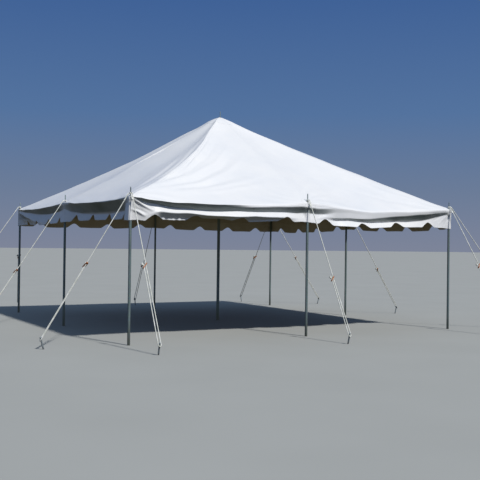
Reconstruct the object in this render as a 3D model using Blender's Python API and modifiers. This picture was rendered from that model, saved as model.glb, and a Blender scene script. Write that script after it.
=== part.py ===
"""A marquee tent at real size: a square canopy with one peak, held up by poles and pulled tight by guy ropes.

Metres, +Z up. The origin is on the ground, under the centre pole. The front side faces -Y, and the four
sides are alike, so each piece of a side is drawn where the front side has it and hung on that side's empty.
"""

import math

import bmesh
import bpy
from mathutils import Matrix, Vector

# Plan and heights
half_side = 3.048  # from the centre pole to a row of side poles: the tent is 20 ft square
corner_pole_height = 2.134  # 7 ft, up to the shoulder that carries the canopy
side_pole_height = 2.16
centre_pole_height = 3.9

# Poles, each a steel tube with a pin in its top
pole_radius = 0.021
centre_pole_radius = 0.028
pole_bevel = 0.003
pin_radius = 0.008
pin_length = 0.135
centre_pin_length = 0.13
pin_bevel = 0.002
round_steps = 16

# Canopy
canopy_overhang = 0.035  # the edge lies this far outside the pole row
canopy_thickness = 0.003
eave_sag = 0.075  # droop of the edge between two poles
ridge_sag = 0.045  # droop of the straight lines from the poles to the peak, at their middle
roof_sag = 0.05  # hollow of the roof between its ridges
patch_half = 0.08  # the canopy lies straight over a pole for this far each way
bay_steps = 6
roof_rows = 6

# Valance with its scalloped hem
valance_drop = 0.335
valance_thickness = 0.003
scallop_pitch = 0.75
scallop_width = 0.28
scallop_margin = 0.02  # plain hem that is left at least, between the last scallop and the corner
scallop_depth = 0.092
scallop_steps = 6

# Guy ropes
rope_radius = 0.007
eye_length = 0.14  # from the pin to the splice that closes the eye
rope_bend_radius = 0.03
rope_tail = 0.045  # the end that sticks out of the runner
splice_gap = 0.001
ring_steps = 4
bend_steps = 3

# Wooden runners
runner_length = 0.11
runner_width = 0.036
runner_thickness = 0.016
runner_corner = 0.01
runner_hole_spacing = 0.05
runner_angle = math.radians(40)  # between the bar and the rope
runner_hole_steps = 12

# Stakes, as much of them as stands out of the ground
stake_radius = 0.0115
stake_length = 0.172
stake_head_radius = 0.015
stake_head_height = 0.014
stake_bevel = 0.003
stake_lean = math.radians(15)
stake_steps = 12
rope_up_stake = 0.145
# How far each stake's foot stands from its pole, and how many degrees its rope turns away from square to the
# side, towards the side's right end. They aren't driven in evenly, so each has its own pair.
stake_places = {
    "front": {"left": (1.12, -1.5), "middle": (1.12, 0), "right": (1.4, 0)},
    "right": {"left": (1.45, -25), "middle": (1.35, 0), "right": (1.4, 0)},
    "back": {"left": (1.4, 0), "middle": (1.12, 0), "right": (1.2, -14)},
    "left": {"left": (1.4, 0), "middle": (1.35, 0), "right": (1.22, -2)},
}
longest_reach = max(reach for side in stake_places.values() for reach, splay in side.values())

# Clearances
seat_gap = 0.0005  # between a piece and what carries it
loop_gap = 0.0002  # between a rope's loop and its stake
canopy_seam = 0.0006
runner_hole_clearance = 0.0008

# How far down its rope each runner is slid, and which way its free end turns
runner_share = {"left": 0.5, "middle": 0.6, "right": 0.5}
runner_turn = {"front": 1, "right": -1, "back": -1, "left": 1}

half_roof = half_side + canopy_overhang
scallop_room = 2 * (half_roof - scallop_margin) - scallop_width
scallop_count = math.floor(scallop_room / scallop_pitch) + 1
mean_slope = (centre_pole_height - side_pole_height) / (half_side + pole_radius - centre_pole_radius)
crown_slope = mean_slope + 4 * ridge_sag / half_roof
peak_height = centre_pole_height + seat_gap + centre_pole_radius * crown_slope


def clear_scene():
    for item in list(bpy.data.objects):
        bpy.data.objects.remove(item, do_unlink=True)


def collection(name):
    made = bpy.data.collections.new(name)
    bpy.context.scene.collection.children.link(made)
    return made


def material(name, colour, roughness, metallic=0.0):
    made = bpy.data.materials.new(name)
    made.use_nodes = True
    shader = made.node_tree.nodes["Principled BSDF"]
    shader.inputs["Base Color"].default_value = (*colour, 1)
    shader.inputs["Roughness"].default_value = roughness
    shader.inputs["Metallic"].default_value = metallic
    made.diffuse_color = (*colour, 1)
    return made


def mesh_object(name, mesh, group, finish=None, parent=None):
    made = bpy.data.objects.new(name, mesh)
    group.objects.link(made)
    made.parent = parent
    if finish:
        mesh.materials.append(finish)
    return made


def make_cutter(cutter):
    cutter.hide_render = True
    cutter.display_type = "WIRE"
    return cutter


def cut(piece, cutter):
    boolean = piece.modifiers.new("cut by " + cutter.name, "BOOLEAN")
    boolean.operation = "DIFFERENCE"
    boolean.object = cutter


def turned(name, profile, steps, group, finish, parent):
    """A solid of revolution about Z. The profile runs from the top of the axis down the outer side."""
    mesh = bpy.data.meshes.new(name)
    mesh.from_pydata([(r, 0, z) for r, z in profile], [(i, i + 1) for i in range(len(profile) - 1)], [])
    made = mesh_object(name, mesh, group, finish, parent)
    screw = made.modifiers.new("turn", "SCREW")
    screw.steps = steps
    screw.render_steps = steps
    screw.use_merge_vertices = True
    screw.merge_threshold = 0.0001
    return made


# The roof's shape. Across a side, u runs from the middle to a corner; v runs in from the edge.


def bay_share(u):
    """0 over a pole, rising to 1 half way between two poles."""
    first, last = patch_half, half_side - patch_half
    share = min(max((abs(u) - first) / (last - first), 0), 1)
    return 4 * share * (1 - share)


def mid_share(v):
    """0 at the edge and at the peak, rising to 1 half way up the roof."""
    rise = v / half_roof
    return 4 * rise * (1 - rise)


def edge_height(u):
    """Underside of the canopy's edge without its sag between poles: it rests on the rims of the poles."""
    heights = []
    for pole_height in (side_pole_height, corner_pole_height):
        seat = canopy_overhang - pole_radius
        rim = pole_height + seat_gap + ridge_sag * mid_share(seat)
        slope = (peak_height - rim) / (half_roof - seat)
        heights.append(rim - slope * seat)
    return heights[0] + (heights[1] - heights[0]) * abs(u) / half_roof


def roof_slope(u):
    return (peak_height - edge_height(u)) / half_roof


def roof_height(u, v):
    """Underside of the roof at v in from the edge, on the straight line from the edge at u to the peak."""
    bay_sag = eave_sag * (1 - v / half_roof) ** 2 + roof_sag * mid_share(v)
    sag = ridge_sag * mid_share(v) + bay_sag * bay_share(u)
    return edge_height(u) + roof_slope(u) * v - sag


def edge_stations():
    """Places along the edge where the canopy bends, from one corner to the other."""
    first, last = patch_half, half_side - patch_half
    half = [first + (last - first) * i / bay_steps for i in range(bay_steps + 1)] + [half_roof]
    return [-u for u in reversed(half)] + [0.0] + half


def roof_panel(name, group, finish, parent):
    stations = edge_stations()
    columns = len(stations) - 1
    crown_half = pin_radius + seat_gap
    bm = bmesh.new()
    bmesh.ops.create_grid(bm, x_segments=columns, y_segments=roof_rows, size=1)
    for vertex in bm.verts:
        column = round((vertex.co.x + 1) / 2 * columns)
        row = round((vertex.co.y + 1) / 2 * roof_rows)
        v = (half_roof - crown_half) * row / roof_rows
        u = stations[column]
        half_width = half_roof - v - canopy_seam / 2
        vertex.co = (u / half_roof * half_width, v - half_roof, roof_height(u, v))
    mesh = bpy.data.meshes.new(name)
    bm.to_mesh(mesh)
    bm.free()
    made = mesh_object(name, mesh, group, finish, parent)
    shell = made.modifiers.new("cloth", "SOLIDIFY")
    shell.thickness = canopy_thickness
    shell.offset = 1
    shell.use_even_offset = True
    return made


def hem_points():
    """The scalloped hem, from the right end to the left end, as (u, height below the straight edge)."""
    points = []
    for notch in reversed(range(scallop_count)):
        middle = (notch - (scallop_count - 1) / 2) * scallop_pitch
        for step in range(scallop_steps + 1):
            share = 1 - 2 * step / scallop_steps
            lift = scallop_depth * (1 + math.cos(math.pi * share)) / 2
            points.append((middle + share * scallop_width / 2, valance_drop - lift))
    return points


def valance(name, group, finish, parent):
    left_end = -half_roof
    right_end = half_roof - valance_thickness - canopy_seam
    top = [(min(max(u, left_end), right_end), u) for u in edge_stations()]
    outline = [(x, roof_height(u, 0) - seat_gap) for x, u in top]
    outline.append((right_end, edge_height(right_end) - valance_drop))
    outline += [(u, edge_height(u) - drop) for u, drop in hem_points()]
    outline.append((left_end, edge_height(left_end) - valance_drop))
    curve = bpy.data.curves.new(name, "CURVE")
    curve.dimensions = "2D"
    curve.fill_mode = "BOTH"
    curve.extrude = valance_thickness / 2
    spline = curve.splines.new("POLY")
    spline.points.add(len(outline) - 1)
    for point, (x, z) in zip(spline.points, outline):
        point.co = (x, z, 0, 1)
    spline.use_cyclic_u = True
    made = mesh_object(name, curve, group, finish, parent)
    made.rotation_euler.x = math.pi / 2
    made.location.y = -(half_roof - valance_thickness / 2)
    return made


def pole(name, radius, height, pin, group, finish, parent=None):
    profile = [
        (0, height + pin),
        (pin_radius - pin_bevel, height + pin),
        (pin_radius, height + pin - pin_bevel),
        (pin_radius, height),
        (radius - pole_bevel, height),
        (radius, height - pole_bevel),
        (radius, 0),
        (0, 0),
    ]
    return turned(name, profile, round_steps, group, finish, parent)


def stake(name, reach, group, finish, parent, ground):
    below = stake_length  # as much again under the ground, which cuts it off
    profile = [
        (0, stake_length),
        (stake_head_radius - stake_bevel, stake_length),
        (stake_head_radius, stake_length - stake_bevel),
        (stake_head_radius, stake_length - stake_head_height + stake_bevel),
        (stake_radius, stake_length - stake_head_height),
        (stake_radius, -below),
        (0, -below),
    ]
    made = turned(name, profile, stake_steps, group, finish, parent)
    made.location = (0, -reach, 0)
    made.rotation_euler.x = stake_lean
    cut(made, ground)
    return made


# A guy rope runs from its pin down to its stake and back up to its runner. Its route is worked out in
# the upright plane through both: out is measured from the pin away from the tent, and aside across it.
# The rope, its runner and its stake hang on an empty at the pin's foot, which turns them to their place.


def canopy_top_at_pin(u):
    return roof_height(u, canopy_overhang) + canopy_thickness * math.hypot(1, roof_slope(u))


def eye_height(u, level):
    """Middle of the rope round the pin, clear of the roof that rises behind it, or one rope higher."""
    rise = roof_slope(u) * (ring_radius(pin_radius) + rope_radius)
    return canopy_top_at_pin(u) + rise + rope_radius + seat_gap + level * (2 * rope_radius + seat_gap)


def ring_radius(inner, gap=seat_gap):
    """Corners of a rope's many-sided ring whose flats clear what it goes round."""
    return (inner + rope_radius + gap) / math.cos(math.pi / ring_steps / 2)


def stake_point(reach):
    """Where the rope's loop crosses the stake's middle line, as (out, height)."""
    return reach + rope_up_stake * math.sin(stake_lean), rope_up_stake * math.cos(stake_lean)


def rope_knee(u, level, reach):
    """The bend over the canopy's edge, as (out, height) points, and the way from its end to the stake."""
    start = canopy_overhang / 2
    height = eye_height(u, level)
    end_out, end_height = stake_point(reach)
    angle = math.atan2(height - end_height, end_out - start)
    knee = []
    for step in range(bend_steps + 1):
        turn = angle * step / bend_steps
        drop = rope_bend_radius * (1 - math.cos(turn))
        knee.append((start + rope_bend_radius * math.sin(turn), height - drop))
    down = Vector((end_out - knee[-1][0], end_height - knee[-1][1]))
    return knee, down


def runner_separation():
    return runner_hole_spacing * math.sin(runner_angle)


def standing_aside(share):
    """How far the standing strand lies aside, at a share of the way from the knee to the stake."""
    at_splice = rope_radius + splice_gap / 2
    return at_splice + (ring_radius(stake_radius, loop_gap) - at_splice) * share


def rope_route(u, level, share, reach):
    """Points of the rope as (aside, out, height)."""
    ring = ring_radius(pin_radius)
    height = eye_height(u, level)
    knee, down = rope_knee(u, level, reach)
    along = down.normalized()
    splice_aside = rope_radius + splice_gap / 2

    eye_half = []
    gone = 0.0
    last = Vector((0, height))
    for point in [Vector(p) for p in knee]:
        gone += (point - last).length
        last = point
        aside = ring + (splice_aside - ring) * gone / eye_length
        eye_half.append((aside, point.x, point.y))
    splice = last + along * (eye_length - gone)
    eye_half.append((splice_aside, splice.x, splice.y))

    route = [(-aside, out, z) for aside, out, z in reversed(eye_half)]
    for step in range(ring_steps + 1):
        angle = math.pi * (step / ring_steps - 0.5)
        route.append((ring * math.sin(angle), -ring * math.cos(angle), height))
    route += eye_half

    # Round the stake: the stake leans, so the loop is longer along the rope than across it.
    centre = Vector(stake_point(reach))
    stake_axis = Vector((math.sin(stake_lean), math.cos(stake_lean)))
    across = abs(stake_axis.x * along.y - stake_axis.y * along.x)
    radius = ring_radius(stake_radius, loop_gap)
    for step in range(ring_steps + 1):
        angle = math.pi * step / ring_steps
        point = centre + along * (radius / across * math.sin(angle))
        route.append((radius * math.cos(angle), point.x, point.y))

    # Up again, through the runner's lower hole and out above it.
    middle = last + down * share
    lower_hole = middle + along * (runner_hole_spacing / 2 * math.cos(runner_angle))
    end = lower_hole - along * rope_tail
    aside = standing_aside(share) - runner_separation()
    route.append((aside, lower_hole.x, lower_hole.y))
    route.append((aside, end.x, end.y))
    return route


def guy_rope(name, u, level, share, reach, turn, group, finish, parent):
    route = rope_route(u, level, share, reach)
    curve = bpy.data.curves.new(name, "CURVE")
    curve.dimensions = "3D"
    curve.bevel_depth = rope_radius
    curve.bevel_resolution = 2
    curve.use_fill_caps = True
    spline = curve.splines.new("POLY")
    spline.points.add(len(route) - 1)
    for point, (aside, out, z) in zip(spline.points, route):
        point.co = (turn * aside, -out, z, 1)
    return mesh_object(name, curve, group, finish, parent)


def runner_mesh(cutters, group):
    """A flat bar with round corners and two slanting holes. The rope runs along Z, the holes lie along X."""
    bm = bmesh.new()
    bmesh.ops.create_cube(bm, size=1)
    size = Matrix.Diagonal((runner_thickness, runner_width, runner_length, 1))
    bmesh.ops.transform(bm, matrix=size, verts=bm.verts)
    corners = [e for e in bm.edges if abs(e.verts[0].co.x - e.verts[1].co.x) > runner_thickness / 2]
    bmesh.ops.bevel(bm, geom=corners, offset=runner_corner, segments=3, profile=0.5, affect="EDGES")
    tilt = Matrix.Rotation(runner_angle, 4, "Y")
    bmesh.ops.transform(bm, matrix=tilt, verts=bm.verts)
    mesh = bpy.data.meshes.new("runner blank")
    bm.to_mesh(mesh)
    bm.free()
    blank = mesh_object("runner blank", mesh, group)
    hole_radius = rope_radius + runner_hole_clearance
    hole_length = 2 * runner_length  # past both ends of the bar
    for name, side in (("runner_hole_lower", -1), ("runner_hole_upper", 1)):
        hole = cylinder(name, hole_radius, hole_length, runner_hole_steps, cutters)
        hole.location.x = side * runner_separation() / 2
        cut(blank, hole)
    graph = bpy.context.evaluated_depsgraph_get()
    bored = bpy.data.meshes.new_from_object(blank.evaluated_get(graph))
    bpy.data.objects.remove(blank, do_unlink=True)
    return bored


def cylinder(name, radius, height, steps, group):
    bm = bmesh.new()
    bmesh.ops.create_cone(bm, cap_ends=True, segments=steps, radius1=radius, radius2=radius, depth=height)
    mesh = bpy.data.meshes.new(name)
    bm.to_mesh(mesh)
    bm.free()
    return make_cutter(mesh_object(name, mesh, group))


def runner(name, mesh, u, level, share, reach, turn, group, parent):
    knee, down = rope_knee(u, level, reach)
    middle = Vector(knee[-1]) + down * share
    along = down.normalized()
    aside = turn * (standing_aside(share) - runner_separation() / 2)
    made = mesh_object(name, mesh, group, parent=parent)
    up_rope = Vector((0, along.x, -along.y))
    across = Vector((turn, 0, 0))
    placed = Matrix((across, up_rope.cross(across), up_rope)).transposed().to_4x4()
    placed.translation = (aside, -middle.x, middle.y)
    made.matrix_local = placed
    return made


clear_scene()
tent = collection("marquee_tent")
cutters = collection("cutters")
vinyl = material("white coated cloth", (0.82, 0.84, 0.88), 0.45)
steel = material("galvanised steel", (0.36, 0.42, 0.46), 0.4, 0.85)
rope = material("laid rope", (0.72, 0.73, 0.68), 0.85)
wood = material("varnished wood", (0.5, 0.2, 0.05), 0.5)
iron = material("dull steel", (0.22, 0.25, 0.27), 0.55, 0.8)

ground_half = half_side + longest_reach + stake_length
ground_mesh = bpy.data.meshes.new("ground_cutter")
bm = bmesh.new()
bmesh.ops.create_cube(bm, size=2 * ground_half)
bm.to_mesh(ground_mesh)
bm.free()
ground = make_cutter(mesh_object("ground_cutter", ground_mesh, cutters))
ground.location.z = -ground_half

pole("centre_pole", centre_pole_radius, centre_pole_height, centre_pin_length, tent, steel)

bored_bar = runner_mesh(cutters, tent)
bored_bar.materials.append(wood)

side_names = ("front", "right", "back", "left")
corner_names = ("front_left", "front_right", "back_right", "back_left")
for number, side in enumerate(side_names):
    side_empty = bpy.data.objects.new(side + " side", None)
    tent.objects.link(side_empty)
    side_empty.rotation_euler.z = number * math.pi / 2

    corner_name = corner_names[number] + "_pole"
    corner = pole(corner_name, pole_radius, corner_pole_height, pin_length, tent, steel, side_empty)
    corner.location = (-half_side, -half_side, 0)
    middle = pole(side + "_pole", pole_radius, side_pole_height, pin_length, tent, steel, side_empty)
    middle.location = (0, -half_side, 0)

    panel = roof_panel(side + "_roof_panel", tent, vinyl, side_empty)
    valance(side + "_valance", tent, vinyl, side_empty)

    for place, u in (("left", -half_side), ("middle", 0), ("right", half_side)):
        hole_name = side + "_pin_hole_" + place
        hole = cylinder(hole_name, pin_radius + seat_gap, 2 * pin_length, round_steps, cutters)
        hole.parent = side_empty
        hole.location = (u, -half_side, side_pole_height)
        cut(panel, hole)

        # Two ropes share each corner's pin: the one on the side that starts there lies on top.
        level = 1 if place == "left" else 0
        share = runner_share[place]
        turn = runner_turn[side]
        reach, splay = stake_places[side][place]
        rope_empty = bpy.data.objects.new(side + " rope " + place, None)
        tent.objects.link(rope_empty)
        rope_empty.parent = side_empty
        rope_empty.location = (u, -half_side, 0)
        rope_empty.rotation_euler.z = math.radians(splay)
        guy_rope(side + "_rope_" + place, u, level, share, reach, turn, tent, rope, rope_empty)
        runner(side + "_runner_" + place, bored_bar, u, level, share, reach, turn, tent, rope_empty)
        stake(side + "_stake_" + place, reach, tent, iron, rope_empty, ground)
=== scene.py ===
import math

import bpy
import numpy as np
from mathutils import Matrix, Vector
from mathutils.bvhtree import BVHTree


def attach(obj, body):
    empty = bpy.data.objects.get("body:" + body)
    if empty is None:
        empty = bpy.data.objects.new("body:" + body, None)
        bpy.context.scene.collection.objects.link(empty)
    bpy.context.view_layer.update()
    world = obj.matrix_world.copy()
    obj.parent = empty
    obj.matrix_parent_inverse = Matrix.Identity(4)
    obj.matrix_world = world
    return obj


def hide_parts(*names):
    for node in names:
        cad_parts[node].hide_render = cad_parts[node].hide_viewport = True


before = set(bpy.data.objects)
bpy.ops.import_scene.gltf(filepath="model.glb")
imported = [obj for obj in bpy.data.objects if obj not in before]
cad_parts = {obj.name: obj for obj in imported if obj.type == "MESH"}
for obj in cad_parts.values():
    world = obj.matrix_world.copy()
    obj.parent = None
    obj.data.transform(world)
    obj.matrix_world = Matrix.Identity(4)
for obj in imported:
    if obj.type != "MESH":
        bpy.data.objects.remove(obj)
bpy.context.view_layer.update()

# Poles
# Eight side poles of 42 mm and a centre pole of 56 mm hot-dip galvanised steel tube. The top of each is
# closed by a welded plug, and a 16 mm steel pin stands on it and goes through the canopy's grommets.
half_side = 3.048  # from the centre pole to a row of side poles: 20 ft square
side_pole_height = 2.16
corner_pole_height = 2.134
centre_pole_height = 3.9
pole_radius = 0.021
centre_pole_radius = 0.028
pin_radius = 0.008
pin_length = 0.135
centre_pin_length = 0.13
pole_sides = 40


def linear(colour):
    """An sRGB hex colour as linear red, green, blue and alpha."""
    shares = [int(colour[i:i + 2], 16) / 255 for i in (1, 3, 5)]
    return [c / 12.92 if c <= 0.04045 else ((c + 0.055) / 1.055) ** 2.4 for c in shares] + [1]


def link_all(tree, node, links):
    """Links a source into each named input: a node, for its first output, or a node and an output."""
    for name, source in links.items():
        origin, output = source if isinstance(source, tuple) else (source, 0)
        tree.links.new(origin.outputs[output], node.inputs[name])


def add_node(tree, kind, settings={}, links={}):
    """A shader node with its settings, by attribute or socket name, and the sources linked into it."""
    made = tree.nodes.new("ShaderNode" + kind)
    for name, value in settings.items():
        if name == "stops":
            while len(made.color_ramp.elements) < len(value):
                made.color_ramp.elements.new(0.5)
            for element, (place, colour) in zip(made.color_ramp.elements, value):
                element.position, element.color = place, colour
        elif isinstance(name, str) and hasattr(made, name):
            setattr(made, name, value)
        else:
            made.inputs[name].default_value = value
    link_all(tree, made, links)
    return made


def new_material(name, **settings):
    """A material with its shader's plain settings, as (material, node tree, shader)."""
    made = bpy.data.materials.new(name)
    made.use_nodes = True
    shader = made.node_tree.nodes["Principled BSDF"]
    for socket, value in settings.items():
        shader.inputs[socket.replace("_", " ")].default_value = value
    return made, made.node_tree, shader


def select_only(*pieces):
    """Selects these pieces and no others, with the first of them active."""
    bpy.ops.object.select_all(action="DESELECT")
    for piece in pieces:
        piece.select_set(True)
    bpy.context.view_layer.objects.active = pieces[0]


def face_outwards():
    """Ends an edit with all faces turned outwards."""
    bpy.ops.mesh.select_all(action="SELECT")
    bpy.ops.mesh.normals_make_consistent(inside=False)
    bpy.ops.object.mode_set(mode="OBJECT")


def turned(name, sides, outline):
    """A round piece drawn up from a disc, step by step, through (radius, height) points."""
    radius, height = outline[0]
    bpy.ops.mesh.primitive_circle_add(vertices=sides, radius=radius, fill_type="NGON",
                                      location=(0, 0, height))
    piece = bpy.context.object
    piece.name = piece.data.name = name
    bpy.ops.object.transform_apply()
    bpy.ops.object.mode_set(mode="EDIT")
    bpy.ops.mesh.select_all(action="SELECT")
    for next_radius, next_height in outline[1:]:
        bpy.ops.mesh.extrude_region_move(TRANSFORM_OT_translate={"value": (0, 0, next_height - height)})
        share = next_radius / radius
        bpy.ops.transform.resize(value=(share, share, 1), center_override=(0, 0, next_height))
        radius, height = next_radius, next_height
    face_outwards()
    bpy.ops.object.shade_smooth_by_angle(angle=math.radians(35))
    return piece


def placed_copy(pattern, name, matrix):
    """A copy of a piece with its own mesh, which holds its place."""
    mesh = pattern.data.copy()
    mesh.name = name
    mesh.transform(matrix)
    made = bpy.data.objects.new(name, mesh)
    bpy.context.scene.collection.objects.link(made)
    return made


def give_material(piece, material):
    """Makes this the only material of a piece."""
    piece.data.materials.clear()
    piece.data.materials.append(material)


def pole_outline(radius, height, pin):
    """Foot, tube, rounded shoulder, weld round the pin, and the pin with its blunt tip."""
    top = height + pin
    return [(radius - 0.003, 0), (radius - 0.0008, 0.0008), (radius, 0.003), (radius, 0.4),
            (radius, height / 2), (radius, height - 0.4), (radius, height - 0.004),
            (radius - 0.001, height - 0.0014), (radius - 0.0032, height),
            (pin_radius + 0.0045, height + 0.0002), (pin_radius + 0.0032, height + 0.0016),
            (pin_radius + 0.001, height + 0.0028), (pin_radius, height + 0.0052), (pin_radius, top - 0.012),
            (pin_radius - 0.0006, top - 0.006), (pin_radius - 0.0026, top - 0.0018),
            (pin_radius - 0.005, top - 0.0003), (0.0008, top)]


# Hot-dip galvanised steel: zinc freezes in spangles some 9 mm across and weathers to a dull blue grey, with
# paler streaks along the tube and grey-brown dirt splashed up from the foot
galvanised, tree, shader = new_material("galvanised steel", Metallic=0.5, Roughness=0.5)
place = add_node(tree, "TexCoord")
spangle = add_node(tree, "TexVoronoi", {"Scale": 110}, {"Vector": (place, "Object")})
stretched = add_node(tree, "Mapping", {"Scale": (30, 30, 3)}, {"Vector": (place, "Object")})
streaks = add_node(tree, "TexNoise", {"Scale": 1, "Detail": 4}, {"Vector": stretched})
grey = add_node(tree, "ValToRGB", {"stops": [(0.2, linear("#6C7F7E")), (0.8, linear("#9CADAC"))]},
                {0: streaks})
mottled = add_node(tree, "Mix", {"data_type": "RGBA", "blend_type": "MULTIPLY", 0: 0.22},
                   {6: grey, 7: (spangle, "Color")})
height = add_node(tree, "SeparateXYZ", {}, {0: (place, "Object")})
low = add_node(tree, "MapRange", {"From Min": 0.0, "From Max": 0.35, "To Min": 1.0, "To Max": 0.0},
               {"Value": (height, 2)})
splash = add_node(tree, "Math", {"operation": "MULTIPLY"}, {0: low, 1: streaks})
dirty = add_node(tree, "Mix", {"data_type": "RGBA", 7: linear("#6A6557")}, {0: splash, 6: (mottled, 2)})
dull = add_node(tree, "MapRange", {"To Min": 0.38, "To Max": 0.62}, {"Value": (spangle, "Distance")})
grain = add_node(tree, "Bump", {"Strength": 0.25, "Distance": 0.0004}, {"Height": streaks})
link_all(tree, shader, {"Base Color": (dirty, 2), "Roughness": dull, "Normal": grain})

side_names = ("front", "right", "back", "left")
corner_names = ("front_left", "front_right", "back_right", "back_left")
quarter_turns = [Matrix.Rotation(number * math.pi / 2, 4, "Z") for number in range(4)]

middle_pattern = turned("middle pole", pole_sides, pole_outline(pole_radius, side_pole_height, pin_length))
corner_pattern = turned("corner pole", pole_sides, pole_outline(pole_radius, corner_pole_height, pin_length))
centre_pattern = turned("centre pole", pole_sides,
                        pole_outline(centre_pole_radius, centre_pole_height, centre_pin_length))
pole_jobs = [("centre_pole", centre_pattern, Matrix())]
for turn, side, corner in zip(quarter_turns, side_names, corner_names):
    pole_jobs.append((corner + "_pole", corner_pattern,
                      turn @ Matrix.Translation((-half_side, -half_side, 0))))
    pole_jobs.append((side + "_pole", middle_pattern, turn @ Matrix.Translation((0, -half_side, 0))))
for node, pattern, matrix in pole_jobs:
    pole = placed_copy(pattern, node + "_tube", matrix)
    give_material(pole, galvanised)
    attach(pole, "root")
    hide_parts(node)
for pattern in (middle_pattern, corner_pattern, centre_pattern):
    bpy.data.objects.remove(pattern)

# Roof of the canopy
# One tailored sheet of white coated polyester with four sides that rise to the peak. It is pulled tight by
# the guy ropes, so it droops between the poles, hangs a little hollow, and carries long folds beside its
# hips.
overhang = 0.035  # the edge lies this far outside the pole row
half_roof = half_side + overhang
cad_cloth = 0.003  # the solid cloth of the frame, which the ropes' eyes lie on
cloth_thickness = 0.0013
seat_gap = 0.0005
ridge_sag = 0.045
patch_half = 0.08
pole_slope = (centre_pole_height - side_pole_height) / (half_side + pole_radius - centre_pole_radius)
peak_height = (centre_pole_height + seat_gap
               + centre_pole_radius * (pole_slope + 4 * ridge_sag / half_roof))
crown_half = 0.0125


def rim_height(pole_height):
    """Height of the canopy's edge that lets it rest on the outer rim of a pole of this height."""
    seat = overhang - pole_radius
    rise = seat / half_roof
    rim = pole_height + seat_gap + ridge_sag * 4 * rise * (1 - rise)
    return rim - (peak_height - rim) / (half_roof - seat) * seat


middle_edge, corner_edge = rim_height(side_pole_height), rim_height(corner_pole_height)


def edge_height(u):
    """Height of the straight line over a side's poles, on which its eave would lie without droop."""
    return middle_edge + (corner_edge - middle_edge) * abs(u) / half_roof


def bay_share(u, skew=1.0):
    """0 over a pole, rising to 1 half way between two poles, or nearer the corner where skew is above 1."""
    share = np.clip((abs(u) - patch_half) / (half_side - 2 * patch_half), 0, 1) ** skew
    return 4 * share * (1 - share)


def eased(table, ease=0.035, low=-0.2, high=1.2):
    """A table of (place, value) as a smooth curve: (places, values)."""
    fine = np.linspace(low, high, 1401)
    step = fine[1] - fine[0]
    half = int(3 * ease / step)
    rough = np.pad(np.interp(fine, *zip(*table)), half, "edge")
    weights = np.exp(-0.5 * (np.arange(-half, half + 1) * step / ease) ** 2)
    return fine, np.convolve(rough, weights / weights.sum(), "valid")


# Droop of the eave: how much each side's has half way between two poles, and the front's left bay in full
bay_droop = (0.075, 0.06, 0.035, 0.035)
front_left_droop = eased([(-2.72, 0), (-2.63, 0.011), (-2.5, 0.022), (-2.29, 0.034), (-2.11, 0.045),
                          (-1.86, 0.0575), (-1.52, 0.0755), (-1.26, 0.0875), (-1.0, 0.075), (-0.72, 0.055),
                          (-0.45, 0.035), (-0.16, 0.01), (0, 0)], 0.06, -3.2, 0.2)
# How far each side's left and right half hang hollow between ridge and hip, and how near the hip that lies
side_hollow = 3 * [((0.05, 1.0), (0.05, 1.0))] + [((0.05, 1.0), (0.085, 1.7))]


def eave_drop(side, u):
    """How far a side's eave hangs below the straight line over its poles."""
    even = bay_droop[side] * bay_share(u)
    if side:
        return even
    return np.where(u < 0, np.interp(u, *front_left_droop) * np.clip(-u / patch_half, 0, 1), even)


# Droop of each line from a pole to the peak, by its share of the way up: hips by corner, ridges by side
plain_droop = [(share / 10, 4 * ridge_sag * share / 10 * (1 - share / 10)) for share in range(11)]
right_hip = [(0, 0), (0.03, 0.005), (0.2, 0.024), (0.5, 0.031), (0.72, 0.036), (0.82, 0.037), (0.93, 0.014),
             (1, 0)]
back_left_hip = [(0, 0), (0.03, 0.006), (0.17, 0.037), (0.37, 0.066), (0.53, 0.07), (0.61, 0.074),
                 (0.69, 0.052), (0.77, 0.028), (0.84, 0.01), (1, 0)]
left_ridge = [(0, 0), (0.03, 0.006), (0.12, 0.025), (0.28, 0.034), (0.4, 0.018), (0.5, 0.01), (0.7, 0.006),
              (1, 0)]
hip_droop = [eased(plain_droop), eased(right_hip), eased(plain_droop), eased(back_left_hip)]
ridge_droop = [eased(plain_droop), eased(plain_droop), eased(plain_droop), eased(left_ridge)]

# The near hip's crest is pulled over towards the front by up to 0.15 m; the other crests lie almost true
crest_pull = eased([(0, 0), (0.12, 0.06), (0.215, 0.103), (0.32, 0.132), (0.415, 0.15), (0.505, 0.151),
                    (0.605, 0.131), (0.695, 0.095), (0.79, 0.052), (0.875, 0.012), (1, 0)], 0.02)
crest_amount = (1, 0.14, 0.2, 0.16)
crest_fall = 0.258  # slope of the flattened strip beside a pulled crest


def side_height(side, half, u, v):
    """Underside of one side's sheet, v in from the edge, on the line from the edge at u to the peak."""
    share = v / half_roof
    hip = hip_droop[side if half < 0 else (side + 1) % 4]
    lean = np.clip(abs(u) / half_roof, 0, 1)
    droop = np.interp(share, *ridge_droop[side]) * (1 - lean) + np.interp(share, *hip) * lean
    depth, skew = side_hollow[side][0 if half < 0 else 1]
    hollow = eave_drop(side, u) * (1 - share) ** 2 + depth * 4 * share * (1 - share) * bay_share(u, skew)
    slope = (peak_height - edge_height(u)) / half_roof
    return edge_height(u) + slope * v - droop - hollow


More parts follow.
